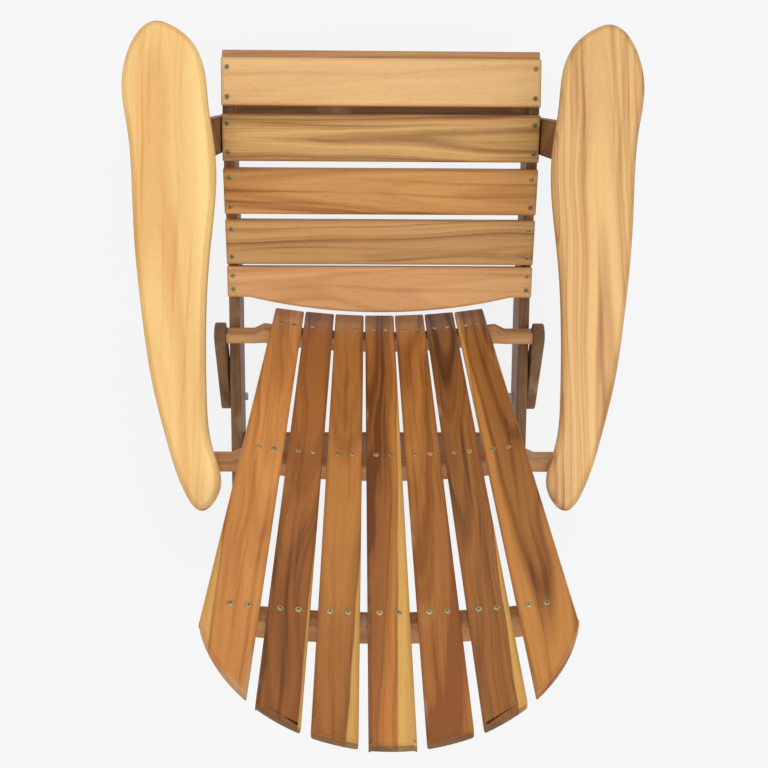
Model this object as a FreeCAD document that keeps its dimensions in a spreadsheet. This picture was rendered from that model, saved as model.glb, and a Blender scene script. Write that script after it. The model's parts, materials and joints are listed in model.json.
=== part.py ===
"""Folding adirondack chair: slatted seat on two sloping stringers, fan back, paddle arms.

The frame is millimetres with +Z up. The floor is Z = 0, the chair faces -Y and is
symmetric about X = 0. The sitter's left hand is at +X.
"""
import FreeCAD, Part
import math
import os
from FreeCAD import Placement, Rotation, Vector

SIDES = {"left": 1, "right": -1}
SLATS_IN_SEAT = 5
SLATS_IN_BACK = 7

# ---------------------------------------------------------------- driving sizes
SIZES = {
    # seat
    "seat_width": 514.0,
    "stringer_thickness": 18.0,
    "stringer_depth": 82.0,
    "stringer_front_y": -467.0,
    "stringer_front_height": 362.0,
    "stringer_front_depth": 62.0,
    "stringer_rear_y": 351.0,
    "rear_slope": 16.6,
    "slat_fall_1": 11.0,
    "slat_fall_2": 21.5,
    "slat_fall_3": 29.0,
    "slat_fall_4": 29.0,
    "slat_fall_5": 22.0,
    "seat_slat_width": 75.0,
    "seat_slat_thickness": 16.0,
    "rear_seat_slat_width": 52.0,
    "rear_slat_bulge": 26.0,
    "rear_slat_land": 18.0,
    "wide_seat_gap": 11.0,
    "narrow_seat_gap": 6.0,
    "apron_thickness": 16.0,
    "apron_height": 62.0,
    "seat_edge_round": 2.0,
    "cross_rail_thickness": 18.0,
    "cross_rail_height": 44.0,
    "stretcher_thickness": 18.0,
    "stretcher_width": 42.0,
    "stretcher_from_foot": 212.0,
    # back
    "back_recline": 35.0,
    "back_foot_y": -74.0,
    "back_foot_height": 163.0,
    "back_slat_length": 1004.0,
    "back_slat_width": 49.0,
    "back_slat_thickness": 10.0,
    "back_slat_pitch_low": 52.0,
    "back_slat_pitch_high": 58.0,
    "outer_slat_top_width": 64.0,
    "back_top_radius": 221.0,
    "back_hollow_radius": 1150.0,
    "arm_rail_place": 455.0,
    "upper_rail_place": 797.0,
    "rail_height": 29.0,
    "rail_depth": 25.0,
    "rail_end_depth": 17.0,
    "rail_end_front": 7.0,
    "rail_arc_reach": 196.0,
    # arms
    "arm_top_height": 573.0,
    "arm_thickness": 20.0,
    "arm_length": 697.0,
    "arm_front_y": -440.0,
    "arm_inset": 17.0,
    "arm_width": 132.0,
    "arm_edge_round": 6.0,
    "arm_block_thickness": 20.0,
    "arm_block_length": 70.0,
    # front legs
    "leg_lean": 20.0,
    "leg_width": 58.0,
    "leg_thickness": 18.0,
    "leg_axis_y": -277.0,
    "arm_pivot_y": -185.0,
    "pivot_below_arm": 19.0,
    "bracket_thickness": 18.0,
    "leg_pivot_y": -387.0,
    "leg_pivot_drop": 61.5,
    # links
    "link_thickness": 18.0,
    "link_width": 44.0,
    "link_pivot_y": 53.0,
    "link_pivot_drop": 66.0,
    # hardware and fits
    "side_gap": 2.0,
    "seat_gap": 0.3,
    "back_rail_gap": 0.85,
    "bolt_radius": 4.0,
    "bolt_clearance": 0.15,
    "open_pivot_clearance": 3.0,
    "bolt_head_radius": 8.0,
    "bolt_head_height": 2.6,
    "nut_radius": 7.0,
    "nut_height": 5.0,
    "washer_radius": 9.0,
    "washer_thickness": 1.5,
    "screw_head_radius": 4.5,
    "screw_head_height": 2.0,
    "screw_shank_radius": 2.0,
    "screw_clearance": 0.1,
    "screw_margin": 14.0,
    "screw_end_cover": 1.0,
    "side_screw_spacing": 13.5,
}

doc = FreeCAD.newDocument("adirondack_chair")
sheet = doc.addObject("Spreadsheet::Sheet", "Sizes")
for row, (alias, value) in enumerate(SIZES.items(), start=1):
    sheet.set("A%d" % row, alias)
    sheet.set("B%d" % row, str(value))
    sheet.setAlias("B%d" % row, alias)
doc.recompute()
parts = []


def size(alias):
    """Value of one driving size, read from the sheet."""
    return float(sheet.get(alias))


def bind(target, prop, expression):
    """Bind a property to the sheet; names of sizes are written plainly."""
    words = expression.split()
    target.setExpression(prop, " ".join("Sizes." + w if w in SIZES else w for w in words))


# ---------------------------------------------------------------- frames
def slope_frame(y, z, fall):
    """Local y runs to the rear and falls by an angle, local z is the face's normal."""
    return Placement(Vector(0, y, z), Rotation(Vector(1, 0, 0), -fall))


RECLINE = math.radians(size("back_recline"))
UP_BACK = Vector(0, math.sin(RECLINE), math.cos(RECLINE))
BACK_FRONT = Vector(0, -math.cos(RECLINE), math.sin(RECLINE))


def on_back(x, along, forward):
    """World point at a height along the back and a distance in front of its rails."""
    foot = Vector(x, size("back_foot_y"), size("back_foot_height"))
    return foot + UP_BACK * along + BACK_FRONT * forward


def slat_frame(base):
    """Local x across, y up the back, z out of the back's front face."""
    return Placement(base, Rotation(Vector(1, 0, 0), 90 - size("back_recline")))


def rail_frame(base):
    """Local x across, y to the rear of the back, z up along it."""
    return Placement(base, Rotation(Vector(1, 0, 0), -size("back_recline")))


# ---------------------------------------------------------------- building blocks
def loop_of(points):
    """Closed run of straight sketch lines through flat points."""
    corners = [Vector(x, y, 0) for x, y in points]
    ring = corners[1:] + corners[:1]
    return [Part.LineSegment(a, b) for a, b in zip(corners, ring)]


def new_sketch(body, name, role="XY_Plane"):
    """Sketch on one of the body's own origin planes."""
    sketch = body.newObject("Sketcher::SketchObject", name)
    plane = [f for f in body.Origin.OriginFeatures if f.Role == role][0]
    sketch.AttachmentSupport = [(plane, "")]
    sketch.MapMode = "FlatFace"
    return sketch


def keep(item, name, place):
    """Register a finished sub-part under its node name."""
    item.Label = name
    item.Placement = place
    parts.append(item)
    return item


def board(name, outline, thickness, place, edge_round=None, holes=(), hole_size=None):
    """Board cut to a flat outline, with eased edges and holes drilled through its face."""
    body = doc.addObject("PartDesign::Body", name)
    sketch = new_sketch(body, name + "_outline")
    sketch.addGeometry(outline, False)
    pad = body.newObject("PartDesign::Pad", name + "_pad")
    pad.Profile = sketch
    bind(pad, "Length", thickness)
    doc.recompute()
    if edge_round:
        fillet = body.newObject("PartDesign::Fillet", name + "_eased")
        fillet.Base = (pad, face_edges(pad.Shape, size(thickness)))
        bind(fillet, "Radius", edge_round)
        doc.recompute()
    if holes:
        before = body.Shape.Volume
        marks = new_sketch(body, name + "_holes")
        radius = size(hole_size) + size("screw_clearance")
        marks.addGeometry([Part.Circle(Vector(x, y, 0), Vector(0, 0, 1), radius) for x, y in holes])
        pocket = body.newObject("PartDesign::Pocket", name + "_drilled")
        pocket.Profile = marks
        pocket.Type = "ThroughAll"
        pocket.Midplane = True
        doc.recompute()
        if body.Shape.Volume >= before:
            raise RuntimeError(name + ": the holes cut nothing")
    return keep(body, name, place)


def face_edges(shape, thickness):
    """Names of the edges that bound the two faces of a padded board."""
    names = []
    for index, edge in enumerate(shape.Edges, start=1):
        heights = [v.Z for v in edge.Vertexes] + [edge.CenterOfMass.z]
        if all(abs(z) < 1e-6 for z in heights) or all(abs(z - thickness) < 1e-6 for z in heights):
            names.append("Edge%d" % index)
    return names


def plain(name, shape, place=None):
    """Sub-part whose shape is worked out with Part's own functions."""
    item = doc.addObject("Part::Feature", name)
    item.Shape = shape
    return keep(item, name, place or shape.Placement)


def rod(start, axis, radius, length):
    """Solid cylinder from a point along an axis."""
    return Part.makeCylinder(radius, length, start, axis)


def domed(seat, out, radius, height, shank, depth):
    """Low domed head turned about out and standing on seat, with its shank behind it."""
    ball = (radius ** 2 + height ** 2) / (2 * height)
    half_turn = math.asin(radius / ball) / 2
    middle = Vector(ball * math.sin(half_turn), 0, height - ball + ball * math.cos(half_turn))
    crown, rim = Vector(0, 0, height), Vector(radius, 0, 0)
    corners = [rim, Vector(shank, 0, 0), Vector(shank, 0, -depth), Vector(0, 0, -depth), crown]
    edges = [Part.Arc(crown, middle, rim).toShape()]
    edges += [Part.makeLine(start, end) for start, end in zip(corners, corners[1:])]
    solid = Part.Face(Part.Wire(edges)).revolve(Vector(0, 0, 0), Vector(0, 0, 1), 360)
    solid.Placement = Placement(seat, Rotation(Vector(0, 0, 1), out))
    return solid


def screw(seat, out, depth):
    """Pan-head wood screw: head on the surface, shank into the board."""
    return domed(seat, out, size("screw_head_radius"), size("screw_head_height"),
                 size("screw_shank_radius"), depth)


def washer(seat, out):
    """Flat ring around a bolt."""
    ring = rod(seat, out, size("washer_radius"), size("washer_thickness"))
    return ring.cut(rod(seat, out, bolt_hole_radius(), size("washer_thickness")))


def nut(seat, out):
    """Hexagon nut whose bore fits the bolt."""
    corners = []
    for turn in range(7):
        angle = math.radians(60 * turn)
        radius = size("nut_radius")
        corners.append(seat + Vector(0, radius * math.cos(angle), radius * math.sin(angle)))
    prism = Part.Face(Part.makePolygon(corners)).extrude(out * size("nut_height"))
    return prism.cut(rod(seat, out, bolt_hole_radius(), size("nut_height")))


def bolt(seat, out, length):
    """Coach bolt: domed head on the outside, round shank pointing inwards."""
    return domed(seat, out, size("bolt_head_radius"), size("bolt_head_height"),
                 size("bolt_radius"), length)


def bolt_hole_radius():
    """Radius of a hole that a bolt turns in."""
    return size("bolt_radius") + size("bolt_clearance")


def across(x, spot):
    """World point on a side profile's spot at a distance from the centre plane."""
    return Vector(x, spot[0], spot[1])


def side_board(name, profile, start, thick, bores):
    """Board cut to a side profile of (y, z) corners, bored through at its pivots."""
    corners = [Vector(0, y, z) for y, z in profile + profile[:1]]
    shape = Part.Face(Part.makePolygon(corners)).extrude(Vector(thick, 0, 0))
    for spot in bores:
        shape = shape.cut(rod(across(0, spot), Vector(1, 0, 0), bolt_hole_radius(), thick))
    return plain(name, shape, Placement(Vector(start, 0, 0), Rotation()))


# ---------------------------------------------------------------- side layout
HALF_SEAT = size("seat_width") / 2
STRINGER_IN = HALF_SEAT - size("stringer_thickness")
LEG_IN = HALF_SEAT + size("side_gap")
LEG_OUT = LEG_IN + size("leg_thickness")
BRACKET_OUT = LEG_OUT + size("bracket_thickness")
LINK_IN = HALF_SEAT + size("side_gap") * 2
LINK_OUT = LINK_IN + size("link_thickness")
ARM_UNDER = size("arm_top_height") - size("arm_thickness")

ARM_INNER_X = HALF_SEAT - size("arm_inset")
FRONT_BLOCK_IN = BRACKET_OUT + size("side_gap") / 2
REAR_BLOCK_IN = ARM_INNER_X + size("arm_block_thickness")
ARM_PIVOT = (size("arm_pivot_y"), ARM_UNDER - size("pivot_below_arm"))
LEG_CORNER = size("leg_width") / 2 / math.cos(math.radians(size("leg_lean")))

# The seat is dished: each slat lies on its own flat facet of the stringers' top edge.
SEAT_FALLS = [size("slat_fall_%d" % (index + 1)) for index in range(SLATS_IN_SEAT)]


def seat_facets():
    """Each slat's start corner on the stringer and its fall, front to rear."""
    wide, narrow = size("wide_seat_gap"), size("narrow_seat_gap")
    widths = [size("seat_slat_width")] * (SLATS_IN_SEAT - 1) + [size("rear_seat_slat_width")]
    gaps = [0.0, wide, wide, wide, narrow, 0.0]
    y, z = size("stringer_front_y"), size("stringer_front_height")
    facets = []
    for index, fall in enumerate(SEAT_FALLS):
        run = gaps[index] / 2 + widths[index] + gaps[index + 1] / 2
        facets.append((y, z, fall, gaps[index] / 2, widths[index]))
        y += run * math.cos(math.radians(fall))
        z -= run * math.sin(math.radians(fall))
    return facets, (y, z)


FACETS, SEAT_END = seat_facets()
REAR_FALL = math.tan(math.radians(size("rear_slope")))
EDGE_DROP = size("stringer_depth") / math.cos(math.radians(size("rear_slope")))


def rear_top(y):
    """Height of the stringer's straight rear top edge."""
    return SEAT_END[1] - (y - SEAT_END[0]) * REAR_FALL


def stringer_top(y):
    """Height of the stringer's top edge at a place along the chair."""
    corners = [(start_y, start_z) for start_y, start_z, *_ in FACETS] + [SEAT_END]
    for (y0, z0), (y1, z1) in zip(corners, corners[1:]):
        if y <= y1:
            return z0 + (z1 - z0) * (y - y0) / (y1 - y0)
    return rear_top(y)


def lower_rail_place():
    """Height along the back at which the lower rail's ends rest on the stringers."""
    sine, cosine = UP_BACK.y, UP_BACK.z
    behind = size("rail_end_depth") - size("rail_end_front")
    y_at_foot = size("back_foot_y") + behind * cosine
    rise = rear_top(y_at_foot) + size("seat_gap") - size("back_foot_height") + behind * sine
    return rise / (cosine + sine * REAR_FALL) + size("rail_height") / 2


RAIL_MID = size("rail_end_front") - size("rail_end_depth") / 2
RAILS = {"lower": lower_rail_place(), "arm": size("arm_rail_place"), "upper": size("upper_rail_place")}


def rail_spot(name):
    """Side-profile spot at the middle of a back rail's end."""
    point = on_back(0, RAILS[name], RAIL_MID)
    return point.y, point.z


BACK_PIVOT = rail_spot("lower")
REAR_ARM_PIVOT = rail_spot("arm")
LEG_PIVOT = (size("leg_pivot_y"), stringer_top(size("leg_pivot_y")) - size("leg_pivot_drop"))
LINK_PIVOT = (size("link_pivot_y"), rear_top(size("link_pivot_y")) - size("link_pivot_drop"))


def stringer_profile():
    """Side outline of a stringer, from the seat's front down to the rear foot."""
    front_y, front_z = size("stringer_front_y"), size("stringer_front_height")
    rear_y = size("stringer_rear_y")
    top = [(y, z) for y, z, fall, lead, width in FACETS] + [SEAT_END, (rear_y, rear_top(rear_y))]
    foot_y = SEAT_END[0] + (SEAT_END[1] - EDGE_DROP) / REAR_FALL
    belly = (SEAT_END[0], SEAT_END[1] - EDGE_DROP)
    knee = (FACETS[2][0], FACETS[2][1] - size("stringer_depth"))
    below = [(rear_y, 0.0), (foot_y, 0.0), belly, knee, (front_y, front_z - size("stringer_front_depth"))]
    return top + below


def make_stringers():
    """The two side rails that carry the seat and reach the floor behind it."""
    for side, sign in SIDES.items():
        start = STRINGER_IN if sign > 0 else -HALF_SEAT
        side_board("stringer_" + side, stringer_profile(), start, size("stringer_thickness"),
                   [LEG_PIVOT, LINK_PIVOT])


# ---------------------------------------------------------------- seat
SEAT_SCREW_X = STRINGER_IN + size("stringer_thickness") / 2


def seat_slat_outline(width, last):
    """Rectangle, or for the last slat one whose rear edge swells into a shallow curve."""
    half = HALF_SEAT
    if not last:
        return loop_of([(-half, 0), (half, 0), (half, width), (-half, width)])
    land = half - size("stringer_thickness") - size("rear_slat_land")
    bulge = width + size("rear_slat_bulge")
    left, right = Vector(-land, width, 0), Vector(land, width, 0)
    curve = Part.Arc(left, Vector(0, bulge, 0), right)
    ends = [Part.LineSegment(right, Vector(half, width, 0)),
            Part.LineSegment(Vector(half, width, 0), Vector(half, 0, 0)),
            Part.LineSegment(Vector(half, 0, 0), Vector(-half, 0, 0)),
            Part.LineSegment(Vector(-half, 0, 0), Vector(-half, width, 0)),
            Part.LineSegment(Vector(-half, width, 0), left)]
    return [curve] + ends


def seat_screw_spots(width):
    """Screw places on one slat, in the slat's own frame."""
    margin = size("screw_margin")
    return [(x, y) for x in (-SEAT_SCREW_X, SEAT_SCREW_X) for y in (margin, width - margin)]


def make_seat():
    """Five seat slats, the front apron and the screws that hold them."""
    screws = []
    thick = size("seat_slat_thickness")
    for index, (y, z, fall, lead, width) in enumerate(FACETS):
        turn = math.radians(fall)
        base = (y + lead * math.cos(turn), z - lead * math.sin(turn))
        place = slope_frame(base[0], base[1], fall)
        spots = seat_screw_spots(width)
        last = index == SLATS_IN_SEAT - 1
        board("seat_slat_%d" % (index + 1), seat_slat_outline(width, last), "seat_slat_thickness",
              place, "seat_edge_round", spots, "screw_shank_radius")
        out = place.Rotation.multVec(Vector(0, 0, 1))
        for spot in spots:
            seat = place.multVec(Vector(spot[0], spot[1], thick))
            screws.append(screw(seat, out, thick - size("screw_end_cover")))
    plain("seat_screws", Part.makeCompound(screws))
    make_apron()


def make_apron():
    """Upright board across the front ends of the stringers, with its four screws."""
    height, thick = size("apron_height"), size("apron_thickness")
    front = size("stringer_front_y") - thick
    margin = size("screw_margin")
    spots = [(x, y) for x in (-SEAT_SCREW_X, SEAT_SCREW_X) for y in (margin, height - margin)]
    low = size("stringer_front_height") - height
    place = Placement(Vector(0, front + thick, low), Rotation(Vector(1, 0, 0), 90))
    outline = loop_of([(-HALF_SEAT, 0), (HALF_SEAT, 0), (HALF_SEAT, height), (-HALF_SEAT, height)])
    board("front_apron", outline, "apron_thickness", place, "seat_edge_round", spots,
          "screw_shank_radius")
    out = Vector(0, -1, 0)
    depth = thick - size("screw_end_cover")
    screws = [screw(Vector(x, front, low + y), out, depth) for x, y in spots]
    plain("apron_screws", Part.makeCompound(screws))


def make_cross_members():
    """Rail under the front of the seat and stretcher between the rear feet."""
    rail_y, rail_z = FACETS[1][0], FACETS[1][1]
    thick, height = size("cross_rail_thickness"), size("cross_rail_height")
    drop = size("seat_gap") + thick / 2 * math.tan(math.radians(SEAT_FALLS[1]))
    place = Placement(Vector(-STRINGER_IN, rail_y + thick / 2, rail_z - drop - height),
                      Rotation(Vector(1, 0, 0), 90))
    outline = loop_of([(0, 0), (2 * STRINGER_IN, 0), (2 * STRINGER_IN, height), (0, height)])
    board("seat_cross_rail", outline, "cross_rail_thickness", place, "seat_edge_round")
    width = size("stretcher_width")
    middle = size("stringer_rear_y") - size("stretcher_from_foot")
    centre_z = rear_top(middle) - EDGE_DROP / 2
    place = Placement(Vector(0, middle, centre_z), Rotation(Vector(1, 0, 0), -size("rear_slope")))
    shift = Placement(Vector(-STRINGER_IN, -width / 2, -size("stretcher_thickness") / 2), Rotation())
    outline = loop_of([(0, 0), (2 * STRINGER_IN, 0), (2 * STRINGER_IN, width), (0, width)])
    board("rear_stretcher", outline, "stretcher_thickness", place * shift, "seat_edge_round")


def make_side_screws():
    """Screw heads on the stringers' outer faces, into the cross members' ends."""
    rail = (FACETS[1][0], FACETS[1][1] - size("cross_rail_height") / 2 - size("screw_margin"))
    middle = size("stringer_rear_y") - size("stretcher_from_foot")
    stretcher = (middle, rear_top(middle) - EDGE_DROP / 2)
    radius, height = size("screw_head_radius"), size("side_gap") / 2
    heads = []
    for sign in SIDES.values():
        for offset in (-size("side_screw_spacing") / 2, size("side_screw_spacing") / 2):
            upright = across(sign * HALF_SEAT, (rail[0], rail[1] + offset))
            level = across(sign * HALF_SEAT, (stretcher[0] + offset, stretcher[1]))
            heads += [rod(spot, Vector(sign, 0, 0), radius, height) for spot in (upright, level)]
    plain("side_screws", Part.makeCompound(heads))


# ---------------------------------------------------------------- back
def hollow(x):
    """How far the slats' arc stands in front of its middle at a distance x."""
    radius = size("back_hollow_radius")
    return radius - math.sqrt(radius ** 2 - x ** 2)


def slat_centre(index, along):
    """Distance of a slat's centre line from the middle, at a height along the back."""
    share = along / size("upper_rail_place")
    low, high = size("back_slat_pitch_low"), size("back_slat_pitch_high")
    return (index - SLATS_IN_BACK // 2) * (low + (high - low) * share)


def slat_outline(index):
    """Outline of one fan slat in the back's flat frame, with its end on the crown's arc."""
    half = size("back_slat_width") / 2
    radius, crown = size("back_top_radius"), size("back_slat_length")
    outer = abs(index - SLATS_IN_BACK // 2) == SLATS_IN_BACK // 2
    sign = -1 if index < SLATS_IN_BACK // 2 else 1
    extra = size("outer_slat_top_width") - size("back_slat_width") if outer else 0.0

    def edges(along):
        centre = slat_centre(index, along)
        grow = extra * along / size("upper_rail_place")
        return centre - half - (grow if sign < 0 else 0), centre + half + (grow if sign > 0 else 0)

    def crown_at(x):
        return crown - radius + math.sqrt(max(radius ** 2 - x ** 2, 0.0))

    def top_of(side):
        along = crown
        for _ in range(40):
            along = crown_at(min(abs(edges(along)[side]), radius))
        return edges(along)[side], along

    low_left, low_right = edges(0)
    left, right = top_of(0), top_of(1)
    middle_x = (left[0] + right[0]) / 2
    arc = Part.Arc(Vector(right[0], right[1], 0), Vector(middle_x, crown_at(middle_x), 0),
                   Vector(left[0], left[1], 0))
    return [Part.LineSegment(Vector(low_left, 0, 0), Vector(low_right, 0, 0)),
            Part.LineSegment(Vector(low_right, 0, 0), Vector(right[0], right[1], 0)), arc,
            Part.LineSegment(Vector(left[0], left[1], 0), Vector(low_left, 0, 0))]


def slat_place(index):
    """Frame of one slat: turned and pushed forward to lie on the back's hollow arc."""
    centre = slat_centre(index, size("arm_rail_place"))
    angle = math.degrees(math.asin(centre / size("back_hollow_radius")))
    base = slat_frame(on_back(0, 0, 0))
    to_axis = Placement(Vector(centre, 0, hollow(centre)), Rotation(Vector(0, 1, 0), -angle))
    return base * to_axis * Placement(Vector(-centre, 0, 0), Rotation())


def back_screw_spots(index):
    """Screw places on one back slat: two at each of the three rails."""
    spots = []
    for along in RAILS.values():
        centre = slat_centre(index, along)
        step = size("back_slat_width") / 2 - size("screw_margin")
        spots += [(centre - step, along), (centre + step, along)]
    return spots


def make_back_slats():
    """Seven slats fanned out and hollowed, with their screws."""
    screws = []
    thick = size("back_slat_thickness")
    depth = thick - size("screw_end_cover")
    for index in range(SLATS_IN_BACK):
        place = slat_place(index)
        spots = back_screw_spots(index)
        board("back_slat_%d" % (index + 1), slat_outline(index), "back_slat_thickness", place,
              "seat_edge_round", spots, "screw_shank_radius")
        out = place.Rotation.multVec(Vector(0, 0, 1))
        for x, along in spots:
            screws.append(screw(place.multVec(Vector(x, along, thick)), out, depth))
    plain("back_screws", Part.makeCompound(screws))


def rail_outline(half_length):
    """Bowed rail seen along the back: arcs front and rear, with straight slimmer ends."""
    reach = min(size("rail_arc_reach"), half_length)
    lift = size("back_rail_gap")
    front_end, rear_end = hollow(reach) - lift, hollow(reach) - lift - size("rail_depth")
    front = Part.Arc(Vector(-reach, -front_end, 0), Vector(0, lift, 0), Vector(reach, -front_end, 0))
    rear = Part.Arc(Vector(reach, -rear_end, 0), Vector(0, size("rail_depth") + lift, 0),
                    Vector(-reach, -rear_end, 0))
    if half_length <= reach:
        closing = [Part.LineSegment(front.EndPoint, rear.StartPoint),
                   Part.LineSegment(rear.EndPoint, front.StartPoint)]
        return [front, rear] + closing
    end_front, end_rear = -size("rail_end_front"), size("rail_end_depth") - size("rail_end_front")
    run = reach + size("rail_end_depth")
    right = [front.EndPoint, Vector(run, end_front, 0), Vector(half_length, end_front, 0),
             Vector(half_length, end_rear, 0), Vector(run, end_rear, 0), rear.StartPoint]
    left = [rear.EndPoint] + [Vector(-p.x, p.y, 0) for p in reversed(right[1:5])] + [front.StartPoint]
    lines = [Part.LineSegment(a, b) for run_of in (right, left) for a, b in zip(run_of, run_of[1:])]
    return [front, rear] + lines


def make_back_rails():
    """Three bowed rails behind the slats; bolts turn in the ends of the lower two."""
    lower_half = HALF_SEAT + size("side_gap") * 2 - size("seat_gap")
    arm_half = REAR_BLOCK_IN - size("seat_gap")
    upper_half = size("rail_arc_reach")
    halves = {"lower": lower_half, "arm": arm_half, "upper": upper_half}
    for name, half in halves.items():
        low = RAILS[name] - size("rail_height") / 2
        board("back_%s_rail" % name, rail_outline(half), "rail_height", rail_frame(on_back(0, low, 0)))


# ---------------------------------------------------------------- front legs and links
LEG_LEAN = math.tan(math.radians(size("leg_lean")))
LEG_TOP = ARM_UNDER - size("seat_gap")


def leg_centre(z):
    """Y of a front leg's centre line at a height."""
    return size("leg_axis_y") - (ARM_PIVOT[1] - z) * LEG_LEAN


def make_front_legs():
    """Leaning front legs, each with a bracket that carries the arm's front pivot."""
    outline = [(leg_centre(0) - LEG_CORNER, 0), (leg_centre(0) + LEG_CORNER, 0),
               (leg_centre(LEG_TOP) + LEG_CORNER, LEG_TOP), (leg_centre(LEG_TOP) - LEG_CORNER, LEG_TOP)]
    for side, sign in SIDES.items():
        start = LEG_IN if sign > 0 else -LEG_OUT
        side_board("front_leg_" + side, outline, start, size("leg_thickness"), [LEG_PIVOT])
        make_bracket(side, sign)


def make_bracket(side, sign):
    """Knee bracket on the leg's outer face, rounded around the arm's front pivot."""
    nose = size("pivot_below_arm") - size("seat_gap") * 2
    shoulder = ARM_PIVOT[1] - nose
    low = shoulder - size("leg_width")
    tail = leg_centre(shoulder) - LEG_CORNER + size("screw_margin") / 2
    points = [(tail, ARM_PIVOT[1] + nose), (tail, shoulder), (leg_centre(low) - LEG_CORNER / 2, low),
              (leg_centre(low) + LEG_CORNER / 2, low), (ARM_PIVOT[0], shoulder),
              (ARM_PIVOT[0], ARM_PIVOT[1] + nose)]
    start = LEG_OUT if sign > 0 else -BRACKET_OUT
    thick = size("bracket_thickness")
    shape = Part.Face(Part.makePolygon([Vector(0, y, z) for y, z in points + points[:1]]))
    shape = shape.extrude(Vector(thick, 0, 0))
    shape = shape.fuse(rod(across(0, ARM_PIVOT), Vector(1, 0, 0), nose, thick)).removeSplitter()
    shape = shape.cut(rod(across(0, ARM_PIVOT), Vector(1, 0, 0), bolt_hole_radius(), thick))
    plain("arm_bracket_" + side, shape, Placement(Vector(start, 0, 0), Rotation()))


def make_links():
    """Round-ended links that hang the back's lower rail from the stringers."""
    radius = size("link_width") / 2
    top, low = Vector(0, *BACK_PIVOT), Vector(0, *LINK_PIVOT)
    along = (top - low).normalize()
    side_step = Vector(0, -along.z, along.y) * radius
    tip, toe = top + along * radius, low - along * radius
    edges = [Part.LineSegment(low + side_step, top + side_step).toShape(),
             Part.Arc(top + side_step, tip, top - side_step).toShape(),
             Part.LineSegment(top - side_step, low - side_step).toShape(),
             Part.Arc(low - side_step, toe, low + side_step).toShape()]
    profile = Part.Face(Part.Wire(edges)).extrude(Vector(size("link_thickness"), 0, 0))
    for spot in (BACK_PIVOT, LINK_PIVOT):
        hole = rod(across(0, spot), Vector(1, 0, 0), bolt_hole_radius(), size("link_thickness"))
        profile = profile.cut(hole)
    for side, sign in SIDES.items():
        start = LINK_IN if sign > 0 else -LINK_OUT
        plain("back_link_" + side, profile, Placement(Vector(start, 0, 0), Rotation()))


# ---------------------------------------------------------------- arms
# Stations along an arm from front to rear: share of the length, then the inner and the
# outer edge as shares of the arm's width.
ARM_INNER = ((0.075, 0.17), (0.17, 0.09), (0.285, 0.0), (0.375, 0.0), (0.5, 0.055), (0.64, 0.075),
             (0.78, 0.055), (0.88, -0.02))
ARM_OUTER = ((0.95, 0.30), (0.87, 0.45), (0.76, 0.61), (0.61, 0.75), (0.43, 0.86), (0.22, 0.955),
             (0.085, 1.0))
ARM_FRONT_TIP = (0.0, 0.56)
ARM_REAR_TIP = (1.0, 0.075)
ARM_REAR_CORNER = (0.965, -0.09)


def arm_outline(sign):
    """Closed paddle curve: broad round front, narrow round rear."""
    stations = (ARM_FRONT_TIP,) + ARM_INNER + (ARM_REAR_CORNER, ARM_REAR_TIP) + ARM_OUTER
    points = []
    for share, width_share in stations:
        x = ARM_INNER_X + width_share * size("arm_width")
        points.append(Vector(sign * x, size("arm_front_y") + share * size("arm_length"), 0))
    curve = Part.BSplineCurve()
    curve.interpolate(Points=points, PeriodicFlag=True)
    return [curve]


def arm_block(name, sign, spot, inner, slack):
    """Block under an arm around a pivot, bored for the pivot's bolt."""
    length, thick = size("arm_block_length"), size("arm_block_thickness")
    height = ARM_UNDER - spot[1] + size("pivot_below_arm")
    start = inner if sign > 0 else -inner - thick
    box = Part.makeBox(thick, length, height, Vector(start, spot[0] - length / 2, ARM_UNDER - height))
    bore = rod(across(start, spot), Vector(1, 0, 0), size("bolt_radius") + slack, thick)
    plain(name, box.cut(bore))


def make_arms():
    """Paddle arms and the blocks that hold their two pivots."""
    place = Placement(Vector(0, 0, ARM_UNDER), Rotation())
    for side, sign in SIDES.items():
        board("arm_" + side, arm_outline(sign), "arm_thickness", place, "arm_edge_round")
        arm_block("arm_front_block_" + side, sign, ARM_PIVOT, FRONT_BLOCK_IN, size("bolt_clearance"))
        arm_block("arm_rear_block_" + side, sign, REAR_ARM_PIVOT, REAR_BLOCK_IN,
                  size("open_pivot_clearance"))


# ---------------------------------------------------------------- pivots
def make_pivots():
    """Bolts, washers and nuts at the chair's five pairs of pivots."""
    for side, sign in SIDES.items():
        out = Vector(sign, 0, 0)
        for name, spot, face in (("leg_pivot", LEG_PIVOT, LEG_OUT), ("link_pivot", LINK_PIVOT, LINK_OUT)):
            reach = face - STRINGER_IN + size("washer_thickness") + size("nut_height")
            inner = across(sign * STRINGER_IN, spot)
            plain("%s_bolt_%s" % (name, side), bolt(across(sign * face, spot), out, reach))
            pair = [washer(inner, out * -1), nut(inner - out * size("washer_thickness"), out * -1)]
            plain("%s_nut_%s" % (name, side), Part.makeCompound(pair))
        reach = LINK_OUT - LINK_IN + size("seat_gap")
        plain("back_pivot_bolt_" + side, bolt(across(sign * LINK_OUT, BACK_PIVOT), out, reach))
        face = FRONT_BLOCK_IN + size("arm_block_thickness")
        plain("arm_front_bolt_" + side, bolt(across(sign * face, ARM_PIVOT), out, face - LEG_OUT))
        rail_end = REAR_BLOCK_IN - size("seat_gap")
        plain("arm_rear_bolt_" + side, rod(across(sign * rail_end, REAR_ARM_PIVOT), out,
                                           size("bolt_radius"), size("arm_block_thickness")))


make_stringers()
make_seat()
make_cross_members()
make_side_screws()
make_back_slats()
make_back_rails()
make_front_legs()
make_links()
make_arms()
make_pivots()
doc.recompute()

for item in doc.Objects:
    if "Invalid" in item.State or "Error" in item.State:
        raise RuntimeError(item.Name + " failed to build")
for item in parts:
    if item.Shape.isNull() or not item.Shape.isValid():
        raise RuntimeError(item.Label + " has no valid shape")

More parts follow.
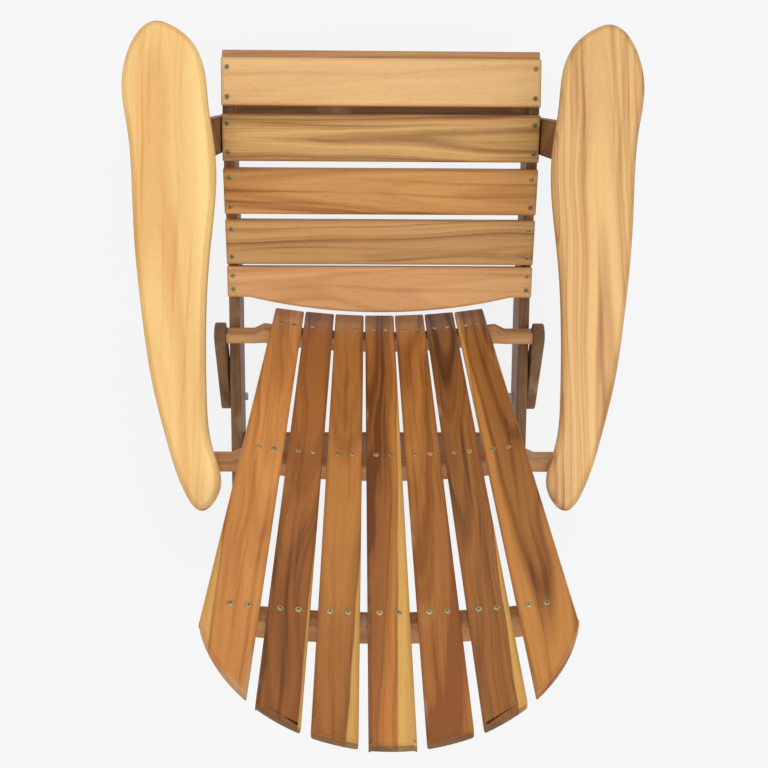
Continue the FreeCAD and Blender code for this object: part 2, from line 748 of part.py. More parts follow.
os.makedirs("parts", exist_ok=True)
for item in parts:
    item.Shape.exportStep(os.path.join("parts", item.Label + ".step"))
print(len(parts), "parts written")
PIVOTS = {"leg": LEG_PIVOT, "link": LINK_PIVOT, "back": BACK_PIVOT, "front arm": ARM_PIVOT,
          "rear arm": REAR_ARM_PIVOT}
for name, spot in PIVOTS.items():
    print("%s pivot at y %.2f, z %.2f" % (name, spot[0], spot[1]))
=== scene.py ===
"""Looks of a folding adirondack chair: oiled acacia boards, aged brass screws, zinc bolts.

Metres, +Z up, the chair faces -Y, the sitter's left is +X. Every board is cut again from the
outline of its construction node, so that its edges can be rounded over and its grain can run
along it.
"""
import json
import math
import bpy
import numpy as np
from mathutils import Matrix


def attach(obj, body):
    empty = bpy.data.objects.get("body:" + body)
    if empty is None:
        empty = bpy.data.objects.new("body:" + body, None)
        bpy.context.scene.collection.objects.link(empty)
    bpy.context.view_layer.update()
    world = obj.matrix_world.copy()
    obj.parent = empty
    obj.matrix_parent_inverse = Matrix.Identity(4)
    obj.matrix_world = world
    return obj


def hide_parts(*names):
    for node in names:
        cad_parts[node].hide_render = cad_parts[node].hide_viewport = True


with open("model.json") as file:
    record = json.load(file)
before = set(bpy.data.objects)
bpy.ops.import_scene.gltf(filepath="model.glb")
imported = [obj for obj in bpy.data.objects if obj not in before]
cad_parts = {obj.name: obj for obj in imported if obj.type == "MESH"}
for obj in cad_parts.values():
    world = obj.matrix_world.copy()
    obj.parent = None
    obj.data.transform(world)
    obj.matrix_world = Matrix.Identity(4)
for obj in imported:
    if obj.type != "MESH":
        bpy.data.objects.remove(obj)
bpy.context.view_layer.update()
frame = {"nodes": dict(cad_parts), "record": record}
BODIES = frame["record"]["behaviour"]["bodies"]
BODY_OF = {node: body for body, nodes in BODIES.items() for node in nodes}
SLOT_OF = {part["node"]: part["material_slot"] for part in frame["record"]["subparts"]}

ACROSS_CHAIR = np.array((1.0, 0.0, 0.0))
UPWARD = np.array((0.0, 0.0, 1.0))
FORWARD = np.array((0.0, -1.0, 0.0))


# ---------------------------------------------------------------- reading the frame
def welded(node):
    """Corners and triangles of a construction node, with doubled corners merged."""
    mesh = frame["nodes"][node].data
    mesh.calc_loop_triangles()
    corners = np.empty(len(mesh.vertices) * 3)
    mesh.vertices.foreach_get("co", corners)
    triangles = np.empty(len(mesh.loop_triangles) * 3, dtype=np.int64)
    mesh.loop_triangles.foreach_get("vertices", triangles)
    corners = corners.reshape(-1, 3)
    _, first, merged = np.unique(np.round(corners, 6), axis=0, return_index=True,
                                 return_inverse=True)
    triangles = merged.reshape(-1)[triangles].reshape(-1, 3)
    distinct = (triangles[:, 0] != triangles[:, 1]) & (triangles[:, 1] != triangles[:, 2])
    distinct &= triangles[:, 0] != triangles[:, 2]
    return corners[first], triangles[distinct]


def widest_face(node):
    """Unit normal that carries the most surface, turned to face up, forward or sideways out."""
    corners, triangles = welded(node)
    a, b, c = (corners[triangles[:, k]] for k in range(3))
    normal = np.cross(b - a, c - a)
    area = np.linalg.norm(normal, axis=1)
    area[area == 0] = 1.0
    spread = (normal / area[:, None]).T @ normal
    _, vectors = np.linalg.eigh((spread + spread.T) / 2)
    out = vectors[:, -1]
    return out if out @ (UPWARD + 0.5 * FORWARD + 0.1 * ACROSS_CHAIR) > 0 else -out


def cap_outline(node, out):
    """Ordered corners around a board's front face, and that face's height along out."""
    corners, triangles = welded(node)
    height = corners @ out
    top = height.max()
    cap = triangles[np.all(height[triangles] > top - 2e-5, axis=1)]
    starts, ends = cap.reshape(-1), np.roll(cap, -1, axis=1).reshape(-1)
    count = len(corners)
    rim = ~np.isin(starts * count + ends, ends * count + starts)
    follow = dict(zip(starts[rim].tolist(), ends[rim].tolist()))
    loops = []
    while follow:
        first = next(iter(follow))
        loop = [first]
        here = follow.pop(first)
        while here != first and here in follow:
            loop.append(here)
            here = follow.pop(here)
        loops.append(corners[loop])
    longest = max(loops, key=lambda ring: np.linalg.norm(ring - np.roll(ring, 1, axis=0), axis=1).sum())
    return longest, top


def directions(outline):
    """Unit direction of each side of a closed flat outline, from a corner to the next."""
    step = np.roll(outline, -1, axis=0) - outline
    return step / np.maximum(np.linalg.norm(step, axis=1, keepdims=True), 1e-9)


def cleaned(outline):
    """The outline without corners that lie on a straight side or on each other."""
    apart = np.linalg.norm(outline - np.roll(outline, 1, axis=0), axis=1) > 2e-5
    outline = outline[apart]
    after = directions(outline)
    before = np.roll(after, 1, axis=0)
    turn = before[:, 0] * after[:, 1] - before[:, 1] * after[:, 0]
    return outline[(np.abs(turn) > 1e-3) | (np.sum(before * after, axis=1) < 0)]


def inset(outline, distance):
    """Outline moved inwards: each corner slides along the mitre of its two sides."""
    after = directions(outline)
    before = np.roll(after, 1, axis=0)
    inward_after = np.stack((-after[:, 1], after[:, 0]), axis=1)
    inward_before = np.stack((-before[:, 1], before[:, 0]), axis=1)
    lean = np.maximum(1 + np.sum(inward_after * inward_before, axis=1, keepdims=True), 0.25)
    return outline + (inward_after + inward_before) / lean * distance


def sharp_corners(outline):
    """Which corners of an outline turn by more than 25 degrees."""
    after = directions(outline)
    return np.sum(np.roll(after, 1, axis=0) * after, axis=1) < math.cos(math.radians(25))


def clear_of_corners(outline, reach):
    """The outline without the curve points that crowd a sharp corner."""
    sharp = sharp_corners(outline)
    if not sharp.any():
        return outline
    apart = np.linalg.norm(outline[:, None] - outline[sharp][None], axis=2).min(axis=1)
    return outline[sharp | (apart > reach)]


def softened(outline, sharp, radius, steps=5):
    """Outline whose sharp corners become parabolas: (1-t)^2 A + 2t(1-t) P + t^2 B."""
    after = directions(outline)
    before = np.roll(after, 1, axis=0)
    side = np.linalg.norm(np.roll(outline, -1, axis=0) - outline, axis=1)
    room = 0.45 * np.minimum(side, np.roll(side, 1))
    reach = np.where(sharp, np.minimum(radius, room), 0.0)[:, None]
    start, end = outline - before * reach, outline + after * reach
    t = np.linspace(0, 1, steps)[None, :, None]
    curve = (1 - t) ** 2 * start[:, None] + 2 * t * (1 - t) * outline[:, None] + t ** 2 * end[:, None]
    kept = np.ones((len(outline), steps), dtype=bool)
    kept[~sharp, 1:] = False
    return curve[kept]


# ---------------------------------------------------------------- making meshes
def new_piece(name, corners, faces, node, smooth_angle=35):
    """Mesh object from corner and face arrays, riding and finished as its node is."""
    mesh = bpy.data.meshes.new(name)
    mesh.from_pydata(corners.tolist(), [], faces)
    mesh.update()
    mesh.shade_smooth()
    mesh.set_sharp_from_angle(angle=math.radians(smooth_angle))
    piece = bpy.data.objects.new(name, mesh)
    bpy.context.scene.collection.objects.link(piece)
    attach(piece, BODY_OF[node])
    return piece


def give(mesh, name, values):
    """Attach one vector to each corner of a mesh under a name."""
    attribute = mesh.attributes.new(name, "FLOAT_VECTOR", "POINT")
    attribute.data.foreach_set("vector", np.ascontiguousarray(values, dtype=np.float32).reshape(-1))


# ---------------------------------------------------------------- boards
EDGE_STEPS = 5
SHOULDER = 0.003
LEAST_CORNER = 0.0002
CROWD = 0.009


# What is known of each finished board: out, height of its face, its two directions, low corner, size.
BOARDS = {}


def board(node, out, grain, look, ease=0.002, corner=0.002, fillet=0.0):
    """Board with a rounded-over rim: its outline is carried up a profile of a quarter circle, the
    straight edge and a second quarter circle, inset by r(1 - cos a) at each height, and a flat
    face closes each end. fillet is the rounding that the node itself has already.
    """
    loop, top = cap_outline(node, out)
    bottom = (welded(node)[0] @ out).min()
    along = grain - out * (grain @ out)
    along /= np.linalg.norm(along)
    aside = np.cross(out, along)
    flat = cleaned(np.stack((loop @ along, loop @ aside), axis=1))
    flat = inset(flat, -fillet) if fillet else flat
    turn = np.linspace(0, math.pi / 2, EDGE_STEPS)
    rise = ease * np.sin(turn)
    draw = ease * (1 - np.cos(turn))
    heights = np.concatenate(([bottom], bottom + ease - rise[::-1], top - ease + rise, [top]))
    insets = np.concatenate(([ease + SHOULDER], draw[::-1], draw, [ease + SHOULDER]))
    flat = clear_of_corners(flat, CROWD)
    sharp = sharp_corners(flat)
    rings = np.stack([softened(inset(flat, distance), sharp, max(corner - distance, LEAST_CORNER))
                      for distance in insets])
    places = rings[..., :1] * along + rings[..., 1:] * aside + heights[:, None, None] * out
    levels, count = rings.shape[:2]
    index = np.arange(levels * count).reshape(levels, count)
    beside = np.roll(index, -1, axis=1)
    sides = np.stack((index[:-1], beside[:-1], beside[1:], index[1:]), axis=-1).reshape(-1, 4)
    faces = sides.tolist() + [index[-1].tolist(), index[0, ::-1].tolist()]
    piece = new_piece(node + "_board", places.reshape(-1, 3), faces, node)
    low = flat.min(axis=0)
    length, width = flat.max(axis=0) - low
    local = np.concatenate((rings.reshape(-1, 2) - low - (length / 2, width / 2),
                            np.repeat(heights - bottom, count)[:, None]), axis=1)
    rim = np.repeat((insets < ease + SHOULDER / 2).astype(float), count)
    finish_board(piece, local, width, rim, along, look)
    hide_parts(node)
    BOARDS[node] = (out, top, along, aside, low, (length, width))
    return piece


def finish_board(piece, local, width, rim, along, look):
    """Attributes that the wood reads: place on the board, its edges, its fibre and its own look.

    sap holds two signed depths in metres, past the line where sapwood begins at each side edge.
    """
    count = len(local)
    rank = len(BOARDS) + 1
    sap_plus = local[:, 1] - width * (0.5 - look.sap_plus) + local[:, 0] * look.sap_slope
    sap_minus = -local[:, 1] - width * (0.5 - look.sap_minus) + local[:, 0] * look.sap_slope_minus
    give(piece.data, "place", local)
    give(piece.data, "edges", np.stack((rim, sap_plus, sap_minus), axis=1))
    give(piece.data, "fibre", np.tile(along, (count, 1)))
    give(piece.data, "tint", np.tile(linear(look.shade), (count, 1)))
    give(piece.data, "deep", np.tile(linear(look.deep), (count, 1)))
    give(piece.data, "figure", np.tile((rank * 1.37, look.heart, look.contrast), (count, 1)))
    piece.data.materials.append(WOODS[SLOT_OF[piece.name[:-len("_board")]]])


def linear(shade):
    """Linear colour of a display colour given as three numbers up to 255."""
    value = np.array(shade) / 255.0
    return np.where(value <= 0.04045, value / 12.92, ((value + 0.055) / 1.055) ** 2.4)


class Look:
    """One board's own colour and figure.

    shade is its ground colour and deep its dark grain; heart is how far below the face the
    middle of the tree lies; sap_plus and sap_minus are the shares of the width that are sapwood.
    """

    def __init__(self, shade, deep, heart=0.05, contrast=1.0, sap_plus=-0.5, sap_minus=-0.5,
                 sap_slope=0.0, sap_slope_minus=0.0):
        self.shade = shade
        self.deep = deep
        self.heart = heart
        self.contrast = contrast
        self.sap_plus = sap_plus
        self.sap_minus = sap_minus
        self.sap_slope = sap_slope
        self.sap_slope_minus = sap_slope_minus


# ---------------------------------------------------------------- shader maths
class Value:
    """A node socket that takes part in Python expressions."""

    def __init__(self, tree, socket):
        self.tree = tree
        self.socket = socket

    def maths(self, operation, other=None, third=None):
        """One Math node on this value and up to two more."""
        given = [self] + [v for v in (other, third) if v is not None]
        return self.tree.node("ShaderNodeMath", {"operation": operation}, dict(enumerate(given)))

    def __add__(self, other):
        return self.maths("ADD", other)

    def __sub__(self, other):
        return self.maths("SUBTRACT", other)

    def __rsub__(self, other):
        return (self * -1) + other

    def __mul__(self, other):
        return self.maths("MULTIPLY", other)

    def __truediv__(self, other):
        return self.maths("DIVIDE", other)

    __radd__ = __add__
    __rmul__ = __mul__

    def power(self, other):
        return self.maths("POWER", other)

    def step(self, low, high):
        """Smooth ramp from 0 at low to 1 at high."""
        return self.tree.node("ShaderNodeMapRange", {"interpolation_type": "SMOOTHSTEP"},
                              {"Value": self, "From Min": low, "From Max": high})


class Finish:
    """A material or a world being built, with one method that adds any node."""

    def __init__(self, name, kind=bpy.data.materials, output="ShaderNodeOutputMaterial"):
        self.owner = kind.new(name)
        self.owner.use_nodes = True
        self.nodes = self.owner.node_tree.nodes
        self.links = self.owner.node_tree.links
        self.output = output
        self.nodes.clear()

    def node(self, kind, settings=None, sockets=None, output=0):
        """Add a node: its settings first, then a value or link for each named socket."""
        made = self.nodes.new(kind)
        for key, value in (settings or {}).items():
            setattr(made, key, value)
        for key, value in (sockets or {}).items():
            if isinstance(value, Value):
                self.links.new(value.socket, made.inputs[key])
            else:
                made.inputs[key].default_value = value
        return Value(self, made.outputs[output])

    def attribute(self, name):
        """Vector attribute of the piece."""
        return self.node("ShaderNodeAttribute", {"attribute_name": name}, output="Vector")

    def parts(self, vector):
        """The three numbers of a vector."""
        split = self.node("ShaderNodeSeparateXYZ", {}, {0: vector})
        return [Value(self, split.socket.node.outputs[k]) for k in range(3)]

    def vector(self, x, y, z):
        return self.node("ShaderNodeCombineXYZ", {}, {0: x, 1: y, 2: z})

    def noise(self, vector, scale, detail=2.0, rough=0.5):
        """Fractal noise between 0 and 1."""
        return self.node("ShaderNodeTexNoise", {},
                         {"Vector": vector, "Scale": scale, "Detail": detail, "Roughness": rough})

    def blend(self, share, first, second, mode="MIX"):
        """Mix two colours by a share."""
        made = self.nodes.new("ShaderNodeMix")
        made.data_type = "RGBA"
        made.blend_type = mode
        for key, value in ((0, share), (6, first), (7, second)):
            if isinstance(value, Value):
                self.links.new(value.socket, made.inputs[key])
            else:
                made.inputs[key].default_value = value if key == 0 else tuple(value) + (1.0,)
        return Value(self, made.outputs[2])

    def surface(self, constants, varying):
        """Principled surface with fixed sockets and linked ones, joined to the output."""
        shader = self.node("ShaderNodeBsdfPrincipled", {}, {**constants, **varying}, output="BSDF")
        self.finish(shader)
        return self.owner

    def seen(self):
        """1 for what the camera sees itself, in a mirror or through glass, else 0."""
        kinds = ("Is Camera Ray", "Is Glossy Ray", "Is Transmission Ray")
        straight, mirrored, through = (self.node("ShaderNodeLightPath", output=kind) for kind in kinds)
        return (straight + mirrored + through).maths("MINIMUM", 1.0)

    def finish(self, shader):
        """Join a shader to the output."""
        self.links.new(shader.socket, self.nodes.new(self.output).inputs["Surface"])


# ---------------------------------------------------------------- wood
SAP = tuple(linear((226, 178, 96)))
SAP_DEEP = tuple(linear((190, 134, 66)))
SAP_LINE = tuple(linear((96, 52, 24)))
DRY_END = tuple(linear((112, 92, 74)))
FIBRE_FINENESS = 420
STREAK_FINENESS = 95
PORE_FINENESS = 1150
END_PORE_FINENESS = 900


def acacia(name, gloss=0.46, wear=0.3, ring_gap=0.0062):
    """Oiled acacia: growth rings around a tree's heart under the board, long fibres, pores,
    sapwood along some edges, dry end grain, painted shade along the rounded edges and rubbed
    spots on them.
    """
    wood = Finish(name)
    place, edges, figure = (wood.attribute(key) for key in ("place", "edges", "figure"))
    x, y, z = wood.parts(place)
    rim, sap_plus, sap_minus = wood.parts(edges)
    seed, heart, contrast = wood.parts(figure)
    shift = seed * 3.1
    sway = wood.noise(wood.vector(x * 1.6 + shift, y * 5, z * 5 + shift), 1.0, 2.0) - 0.5
    drift = wood.noise(wood.vector(x * 5.5 + shift, y * 16 + shift, z * 16), 1.0, 2.0) - 0.5
    wander = sway * 0.055 + drift * 0.010
    off_heart = y + wander + (wood.noise(wood.vector(shift, 0.5, 0.5), 1.0, 0.0) - 0.5) * 0.09
    depth = z + heart + x * 0.018 + sway * 0.02
    radius = (off_heart * off_heart + depth * depth).power(0.5)
    rings = wood.noise(wood.vector(radius / ring_gap, shift, 0.0), 1.0, 2.5, 0.62)
    bands = wood.noise(wood.vector(radius / (ring_gap * 4.5) + 7.0, shift, 2.0), 1.0, 1.0)
    fibre = wood.noise(wood.vector(x * 9 + shift, (y + wander * 0.4) * FIBRE_FINENESS,
                                   z * FIBRE_FINENESS), 1.0, 3.0, 0.6)
    streak = wood.noise(wood.vector(x * 2.2 + shift, (y + wander) * STREAK_FINENESS,
                                    z * STREAK_FINENESS + shift), 1.0, 2.0, 0.55)
    pores = wood.noise(wood.vector(x * 70 + shift, y * PORE_FINENESS, z * PORE_FINENESS), 1.0, 1.0)
    pore_mask = pores.step(0.66, 0.76)
    dark = rings.step(0.40, 0.72) * 0.55 + bands.step(0.42, 0.66) * 0.50 + streak.step(0.48, 0.80) * 0.42
    dark = (dark + (fibre - 0.5) * 0.35) * contrast
    ground = wood.blend(dark.maths("MINIMUM", 1.0).maths("MAXIMUM", 0.0), wood.attribute("tint"),
                        wood.attribute("deep"))
    ground = wood.blend(fibre.step(0.35, 0.75) * 0.30, ground, (1.28, 1.22, 1.12), "MULTIPLY")
    sap = sap_plus + sway * 0.012 + drift * 0.006 + (streak - 0.5) * 0.004
    sap_two = sap_minus + sway * 0.012 + drift * 0.006 + (streak - 0.5) * 0.004
    sap_mask = sap.step(-0.0006, 0.0016).maths("MAXIMUM", sap_two.step(-0.0006, 0.0016))
    line, line_two = (edge.maths("ABSOLUTE").step(0.004, 0.0005) for edge in (sap, sap_two))
    line = line.maths("MAXIMUM", line_two)
    ground = wood.blend(line * 0.22, ground, SAP_LINE)
    sapwood = wood.blend(dark * 0.45, SAP, SAP_DEEP)
    ground = wood.blend(sap_mask * 0.86, ground, sapwood)
    ground = wood.blend(pore_mask * 0.38, ground, (0.34, 0.26, 0.20), "MULTIPLY")
    facing = wood.node("ShaderNodeVectorMath", {"operation": "DOT_PRODUCT"},
                       {0: wood.node("ShaderNodeTexCoord", output="Normal"), 1: wood.attribute("fibre")},
                       output="Value")
    end_grain = facing.maths("ABSOLUTE").step(0.55, 0.9)
    cross_pores = wood.noise(wood.vector(y * END_PORE_FINENESS, z * END_PORE_FINENESS, shift), 1.0, 2.0)
    ground = wood.blend(end_grain * (cross_pores * 0.5 + 0.45), ground, DRY_END, "MIX")
    blotch = wood.noise(wood.vector(x * 7 + shift, y * 12, z * 12), 1.0, 3.0)
    # Painted shade: the rounded edges are darkened, more in some blotches; the rubbed spots below are real
    # wear.
    ground = wood.blend(rim * (0.25 + blotch * 0.4), ground, (0.66, 0.56, 0.47), "MULTIPLY")
    rubbed = rim * blotch.step(0.56, 0.70) * wear
    ground = wood.blend(rubbed, ground, (0.62, 0.44, 0.27))
    ground = wood.blend(blotch.step(0.45, 0.85) * 0.20, ground, (0.80, 0.76, 0.72), "MULTIPLY")
    rough = (fibre * 0.14 + blotch * 0.12 + pore_mask * 0.12 + end_grain * 0.25) + (gloss - 0.13)
    relief = fibre * 0.5 + streak * 0.35 + rings * 0.2 - pore_mask * 0.8 + cross_pores * end_grain * 0.8
    bump = wood.node("ShaderNodeBump", {}, {"Strength": 0.28, "Distance": 0.0006, "Height": relief})
    return wood.surface({"Coat Roughness": 0.32, "Coat IOR": 1.45, "Specular IOR Level": 0.22},
                        {"Base Color": ground, "Roughness": rough, "Coat Weight": (1 - end_grain) * 0.06,
                         "Normal": bump})


def aged_brass(name):
    """Dulled brass: bright on the crown, with specks of tarnish, and with painted shade, near black, in the
    slot and on the skirt.
    """
    metal = Finish(name)
    place = metal.node("ShaderNodeTexCoord", output="Object")
    height = metal.parts(metal.attribute("depth"))[0]
    specks = metal.noise(place, 900.0, 3.0, 0.65)
    clouds = metal.noise(place, 60.0, 2.0)
    tarnish = (specks.step(0.42, 0.68) * 0.5 + clouds.step(0.35, 0.65) * 0.45).maths("MINIMUM", 1.0)
    colour = metal.blend(tarnish, (0.50, 0.40, 0.20), (0.16, 0.13, 0.075))
    # Painted shade: where the openness is low, in the slot and on the skirt, the brass is darkened to near
    # black.
    colour = metal.blend(height.step(0.55, 0.05), colour, (0.035, 0.026, 0.016))
    bump = metal.node("ShaderNodeBump", {}, {"Strength": 0.25, "Distance": 0.0002, "Height": specks})
    return metal.surface({"Metallic": 0.85}, {"Base Color": colour, "Roughness": tarnish * 0.25 + 0.36,
                                              "Normal": bump})


def zinc(name):
    """Zinc-plated steel: cloudy spangle and a few grey stains."""
    metal = Finish(name)
    place = metal.node("ShaderNodeTexCoord", output="Object")
    spangle = metal.node("ShaderNodeTexVoronoi", {}, {"Vector": place, "Scale": 700.0}, output="Distance")
    clouds = metal.noise(place, 90.0, 3.0)
    colour = metal.blend(clouds.step(0.4, 0.7) * 0.7, (0.52, 0.52, 0.50), (0.24, 0.23, 0.21))
    bump = metal.node("ShaderNodeBump", {}, {"Strength": 0.2, "Distance": 0.0002,
                                              "Height": spangle + clouds * 0.5})
    return metal.surface({"Metallic": 0.9}, {"Base Color": colour, "Roughness": spangle * 0.15 + 0.32,
                                             "Normal": bump})


WOODS = {"arm_wood": acacia("oiled_honey_acacia", gloss=0.44),
         "seat_wood": acacia("oiled_pale_acacia", gloss=0.48),
         "back_wood": acacia("oiled_red_brown_acacia", gloss=0.45, wear=0.4),
         "frame_wood": acacia("oiled_brown_acacia", gloss=0.56, wear=0.5)}
BRASS = aged_brass("aged_brass")
ZINC = zinc("zinc_plate")

# ---------------------------------------------------------------- the boards of this chair
ARMS = {"left": Look((253, 218, 146), (216, 154, 84), heart=0.12, contrast=1.0),
        "right": Look((240, 198, 132), (168, 106, 62), heart=0.03, contrast=1.15)}
SEAT = [Look((242, 200, 140), (206, 150, 90), 0.20, 0.9),
        Look((240, 192, 118), (140, 92, 46), 0.012, 1.3),
        Look((234, 176, 104), (146, 84, 38), 0.05, 1.2),
        Look((216, 166, 106), (122, 78, 42), 0.03, 1.3),
        Look((236, 182, 122), (176, 114, 64), 0.12, 1.0)]
BACK = [Look((204, 138, 68), (116, 64, 22), 0.05, 1.15, sap_minus=0.14, sap_slope_minus=0.012),
        Look((184, 118, 56), (84, 46, 16), 0.03, 1.25, sap_plus=0.03, sap_slope=0.02),
        Look((214, 146, 74), (142, 82, 32), 0.08, 1.05),
        Look((198, 128, 60), (108, 58, 20), 0.02, 1.2, sap_plus=0.15, sap_slope=0.022),
        Look((200, 134, 64), (122, 68, 26), 0.10, 1.15, sap_plus=-0.06, sap_slope=0.045),
        Look((182, 114, 54), (106, 58, 20), 0.05, 1.15, sap_plus=0.07, sap_slope=0.03),
        Look((224, 154, 82), (156, 90, 38), 0.07, 1.1, sap_minus=0.03, sap_slope_minus=0.03,
             sap_plus=-0.12, sap_slope=0.05)]
RAIL = Look((208, 156, 104), (150, 100, 60), 0.06, 1.0)
# Painted shade: a darker copy of the frame wood for the front legs, knee brackets and arm blocks, which sit
# in shade under the arms.
PAINTED_SHADE_FRAME = Look((140, 98, 62), (86, 54, 32), 0.05, 1.0)
GREY_FRAME = Look((150, 112, 78), (100, 70, 46), 0.08, 1.0)
FRONT_BOARD = Look((206, 160, 108), (160, 112, 70), 0.08, 1.0)
SIDES = ("left", "right")


def make_arms():
    """Paddle arms with their edges rounded over."""
    for side in SIDES:
        board("arm_" + side, UPWARD, FORWARD, ARMS[side], ease=0.006, corner=0.0, fillet=0.006)
        for end in ("front", "rear"):
            board("arm_%s_block_%s" % (end, side), ACROSS_CHAIR, FORWARD, PAINTED_SHADE_FRAME, 0.0015)


def make_seat():
    """Seat slats, the board across the front and the rail beneath."""
    for index, look in enumerate(SEAT, start=1):
        node = "seat_slat_%d" % index
        board(node, widest_face(node), ACROSS_CHAIR, look, ease=0.0024, fillet=0.002)
    board("front_apron", FORWARD, ACROSS_CHAIR, FRONT_BOARD, ease=0.0024, fillet=0.002)
    for node in ("seat_cross_rail", "rear_stretcher"):
        board(node, widest_face(node), ACROSS_CHAIR, GREY_FRAME, ease=0.002, fillet=0.002)


def make_back():
    """Fan slats and the three bowed rails behind them."""
    face = widest_face("back_slat_4")
    up_back = np.cross(face, ACROSS_CHAIR)
    for index, look in enumerate(BACK, start=1):
        node = "back_slat_%d" % index
        board(node, widest_face(node), up_back, look, ease=0.0022, corner=0.003, fillet=0.002)
    for name in ("lower", "arm", "upper"):
        board("back_%s_rail" % name, up_back, ACROSS_CHAIR, RAIL, ease=0.002)


def make_sides():
    """Stringers, front legs, knee brackets and links."""
    for side in SIDES:
        board("stringer_" + side, ACROSS_CHAIR, FORWARD, GREY_FRAME, ease=0.002)
        board("front_leg_" + side, ACROSS_CHAIR, UPWARD, PAINTED_SHADE_FRAME, ease=0.002)
        board("arm_bracket_" + side, ACROSS_CHAIR, FORWARD, PAINTED_SHADE_FRAME, ease=0.0015)
        board("back_link_" + side, ACROSS_CHAIR, UPWARD, GREY_FRAME, ease=0.002)


# ---------------------------------------------------------------- screws and bolts
SCREW_RADIUS = 0.0045
SCREW_HEIGHT = 0.0020
SLOT_HALF_WIDTH = 0.00055
SLOT_DEPTH = 0.0011
SKIRT = 0.001
SPOKES = 24


def islands(node):
    """Corner sets of a node's separate solids, found by passing the lowest label along edges."""
    corners, triangles = welded(node)
    label = np.arange(len(corners))
    pairs = np.concatenate((triangles[:, :2], triangles[:, 1:], triangles[:, ::2]))
    while True:
        lowest = np.minimum(label[pairs[:, 0]], label[pairs[:, 1]])
        after = label.copy()
        np.minimum.at(after, pairs[:, 0], lowest)
        np.minimum.at(after, pairs[:, 1], lowest)
        if np.array_equal(after, label):
            break
        label = after
    return [corners[label == key] for key in np.unique(label)]


def seat_of(points, names):
    """Point on a board's face under a screw, and the way that face looks."""
    middle = (points.max(axis=0) + points.min(axis=0)) / 2
    best = None
    for name in names:
        out, top, along, aside, low, size = BOARDS[name]
        spot = np.array((middle @ along, middle @ aside))
        outside = np.abs(spot - low - np.array(size) / 2) - np.array(size) / 2
        miss = outside.max() + abs(middle @ out - top)
        if best is None or miss < best[0]:
            best = (miss, out, top)
    axis = best[1]
    return middle + axis * (best[2] - middle @ axis), axis


def dome(radius, height, slot_depth):
    """Height of a domed head over a polar grid: h(1 - (r/R)^2)^0.6, less a cross-shaped slot
    whose arms fade out at half the radius. Returns flat places, heights and openness.
    """
    share = np.array((0.0, 0.10, 0.20, 0.32, 0.44, 0.55, 0.68, 0.82, 0.93, 1.0))[:, None]
    angle = np.linspace(0, 2 * math.pi, SPOKES, endpoint=False)[None, :]
    x, y = share * radius * np.cos(angle), share * radius * np.sin(angle)
    arm = np.minimum(np.abs(x), np.abs(y)) / SLOT_HALF_WIDTH
    slot = np.clip(1.5 - arm, 0, 1) * (share < 0.56)
    rise = height * (1 - share ** 2) ** 0.6 + 0 * angle
    return x, y, rise - slot * slot_depth, 1 - slot


def heads(node, boards):
    """All the heads of one node as one piece: domes on their boards, each closed underneath and
    with a skirt that goes a little into the wood.
    """
    x, y, z, openness = dome(SCREW_RADIUS, SCREW_HEIGHT, SLOT_DEPTH)
    rings = len(x)
    x = np.vstack((x, x[-1:]))
    y = np.vstack((y, y[-1:]))
    z = np.vstack((z, np.full((1, SPOKES), -SKIRT)))
    # The skirt gets an openness of 0.3, so the brass paints a ring of shade there.
    openness = np.vstack((openness, np.full((1, SPOKES), 0.3)))
    index = np.arange(rings * SPOKES + SPOKES).reshape(rings + 1, SPOKES)
    beside = np.roll(index, -1, axis=1)
    sides = np.stack((index[1:-1], index[2:], beside[2:], beside[1:-1]), axis=-1).reshape(-1, 4)
    crown = np.stack((np.full(SPOKES, 0), index[1], beside[1]), axis=-1)
    corners, faces, shades = [], [], []
    used = np.concatenate(([0], np.arange(SPOKES, index.size)))
    renumber = np.zeros(index.size, dtype=int)
    renumber[used] = np.arange(len(used))
    for number, points in enumerate(islands(node)):
        spot, out = seat_of(points, boards)
        first = np.cross(out, UPWARD if abs(out[2]) < 0.9 else ACROSS_CHAIR)
        first /= np.linalg.norm(first)
        spin = number * 2.4
        first, second = (first * math.cos(spin) + np.cross(out, first) * math.sin(spin),
                         np.cross(out, first) * math.cos(spin) - first * math.sin(spin))
        place = spot + x[..., None] * first + y[..., None] * second + z[..., None] * out
        corners.append(place.reshape(-1, 3)[used])
        shades.append(openness.reshape(-1)[used])
        shift = number * len(used)
        faces += (renumber[sides] + shift).tolist() + (renumber[crown] + shift).tolist()
        faces.append((renumber[index[-1, ::-1]] + shift).tolist())
    piece = new_piece(node + "_heads", np.concatenate(corners), faces, node, 60)
    shade = np.concatenate(shades)
    give(piece.data, "depth", np.stack((shade, shade, shade), axis=1))
    piece.data.materials.append(BRASS)
    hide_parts(node)
    return piece


def make_screws():
    """Brass screws of the seat, the front board and the back."""
    seat = ["seat_slat_%d" % index for index in range(1, len(SEAT) + 1)]
    back = ["back_slat_%d" % index for index in range(1, len(BACK) + 1)]
    for node, boards in (("seat_screws", seat), ("apron_screws", ["front_apron"]), ("back_screws", back)):
        heads(node, boards)


def finish_hardware():
    """Bolts, nuts and side screws keep their construction shape and get their metal."""
    for name, item in frame["nodes"].items():
        if SLOT_OF[name] == "zinc_hardware" or name == "side_screws":
            metal = ZINC if SLOT_OF[name] == "zinc_hardware" else BRASS
            item.data.materials.clear()
            item.data.materials.append(metal)


# ---------------------------------------------------------------- studio
CAMERA_PLACE = np.array((0.035, 0.261, 2.232))
CAMERA_AIM = np.array((-0.0054, 0.0525, 0.30))
LENS = 56.25
FLOOR_REACH = 6.0
PAPER_WHITE = (0.95, 0.95, 0.955, 1.0)
FLOOR_WHITE = 0.86
AIR_LEVEL = 0.74
LAMP_AIM = np.array((0.0, 0.0, 0.4))
LAMPS = (("overhead", (-0.5, 0.9, 3.2), 26.0, 1.6), ("front", (1.2, -2.2, 2.6), 14.0, 1.4))


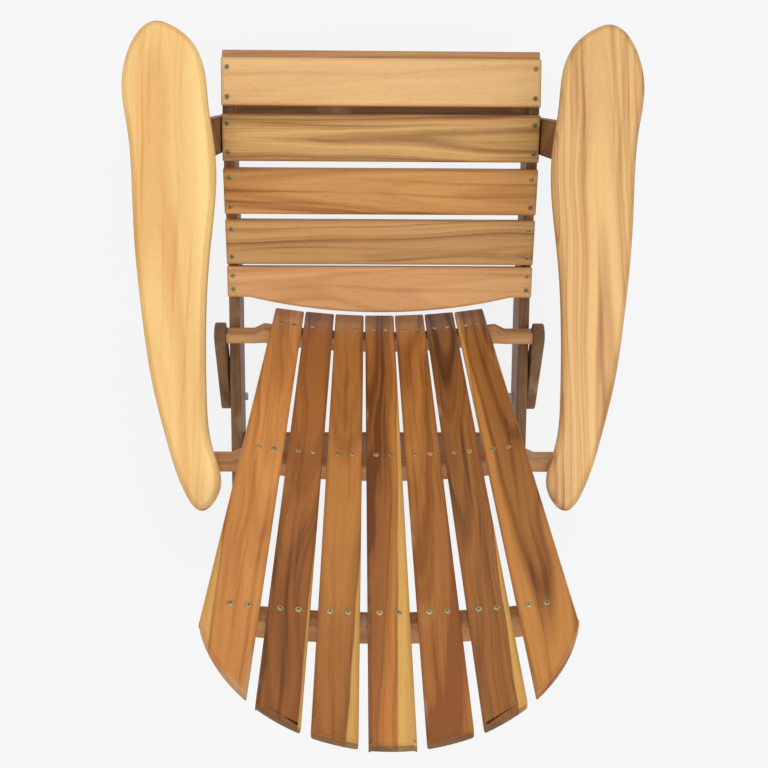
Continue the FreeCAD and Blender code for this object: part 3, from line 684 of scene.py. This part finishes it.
def make_floor():
    """Wide pale floor that shows white and keeps a soft shadow."""
    reach = FLOOR_REACH
    corners = np.array([(-reach, -reach, 0), (reach, -reach, 0), (reach, reach, 0), (-reach, reach, 0)])
    mesh = bpy.data.meshes.new("floor")
    mesh.from_pydata(corners.tolist(), [], [(0, 1, 2, 3)])
    floor = bpy.data.objects.new("floor", mesh)
    bpy.context.scene.collection.objects.link(floor)
    paper = Finish("pale_floor")
    matt = paper.node("ShaderNodeBsdfDiffuse", {}, {"Color": (0.86, 0.86, 0.86, 1.0)}, output="BSDF")
    white = paper.node("ShaderNodeEmission", {}, {"Color": PAPER_WHITE, "Strength": 1.0}, output="Emission")
    paper.finish(paper.node("ShaderNodeMixShader", {}, {0: paper.seen() * FLOOR_WHITE, 1: matt, 2: white},
                            output="Shader"))
    mesh.materials.append(paper.owner)


def make_lights():
    """Even white surroundings with one broad lamp overhead and a weak one from the front."""
    air = Finish("studio", bpy.data.worlds, "ShaderNodeOutputWorld")
    bpy.context.scene.world = air.owner
    sky = air.node("ShaderNodeBackground", {},
                   {"Color": PAPER_WHITE, "Strength": air.seen() * (1 - AIR_LEVEL) + AIR_LEVEL},
                   output="Background")
    air.finish(sky)
    for name, place, power, width in LAMPS:
        lamp = bpy.data.lights.new(name, "AREA")
        lamp.energy = power
        lamp.size = width
        item = bpy.data.objects.new(name, lamp)
        bpy.context.scene.collection.objects.link(item)
        point_at(item, np.array(place), LAMP_AIM, UPWARD + 0.01 * FORWARD)


def point_at(item, place, target, up):
    """Put a lamp or camera somewhere and turn its -Z to a target."""
    back = (place - target) / np.linalg.norm(place - target)
    right = np.cross(up, back)
    right /= np.linalg.norm(right)
    matrix = np.eye(4)
    matrix[:3, 0], matrix[:3, 1], matrix[:3, 2], matrix[:3, 3] = right, np.cross(back, right), back, place
    item.matrix_world = matrix.T.tolist()


def make_camera():
    """Camera high over the chair's back edge, with the seat's front at the top of the frame."""
    lens = bpy.data.cameras.new("camera")
    lens.lens = LENS
    lens.sensor_width = 36.0
    camera = bpy.data.objects.new("camera", lens)
    bpy.context.scene.collection.objects.link(camera)
    point_at(camera, CAMERA_PLACE, CAMERA_AIM, FORWARD)
    bpy.context.scene.camera = camera


make_arms()
make_seat()
make_back()
make_sides()
make_screws()
finish_hardware()
make_floor()
make_lights()
make_camera()
bpy.context.scene.view_settings.view_transform = "Standard"
bpy.context.view_layer.update()
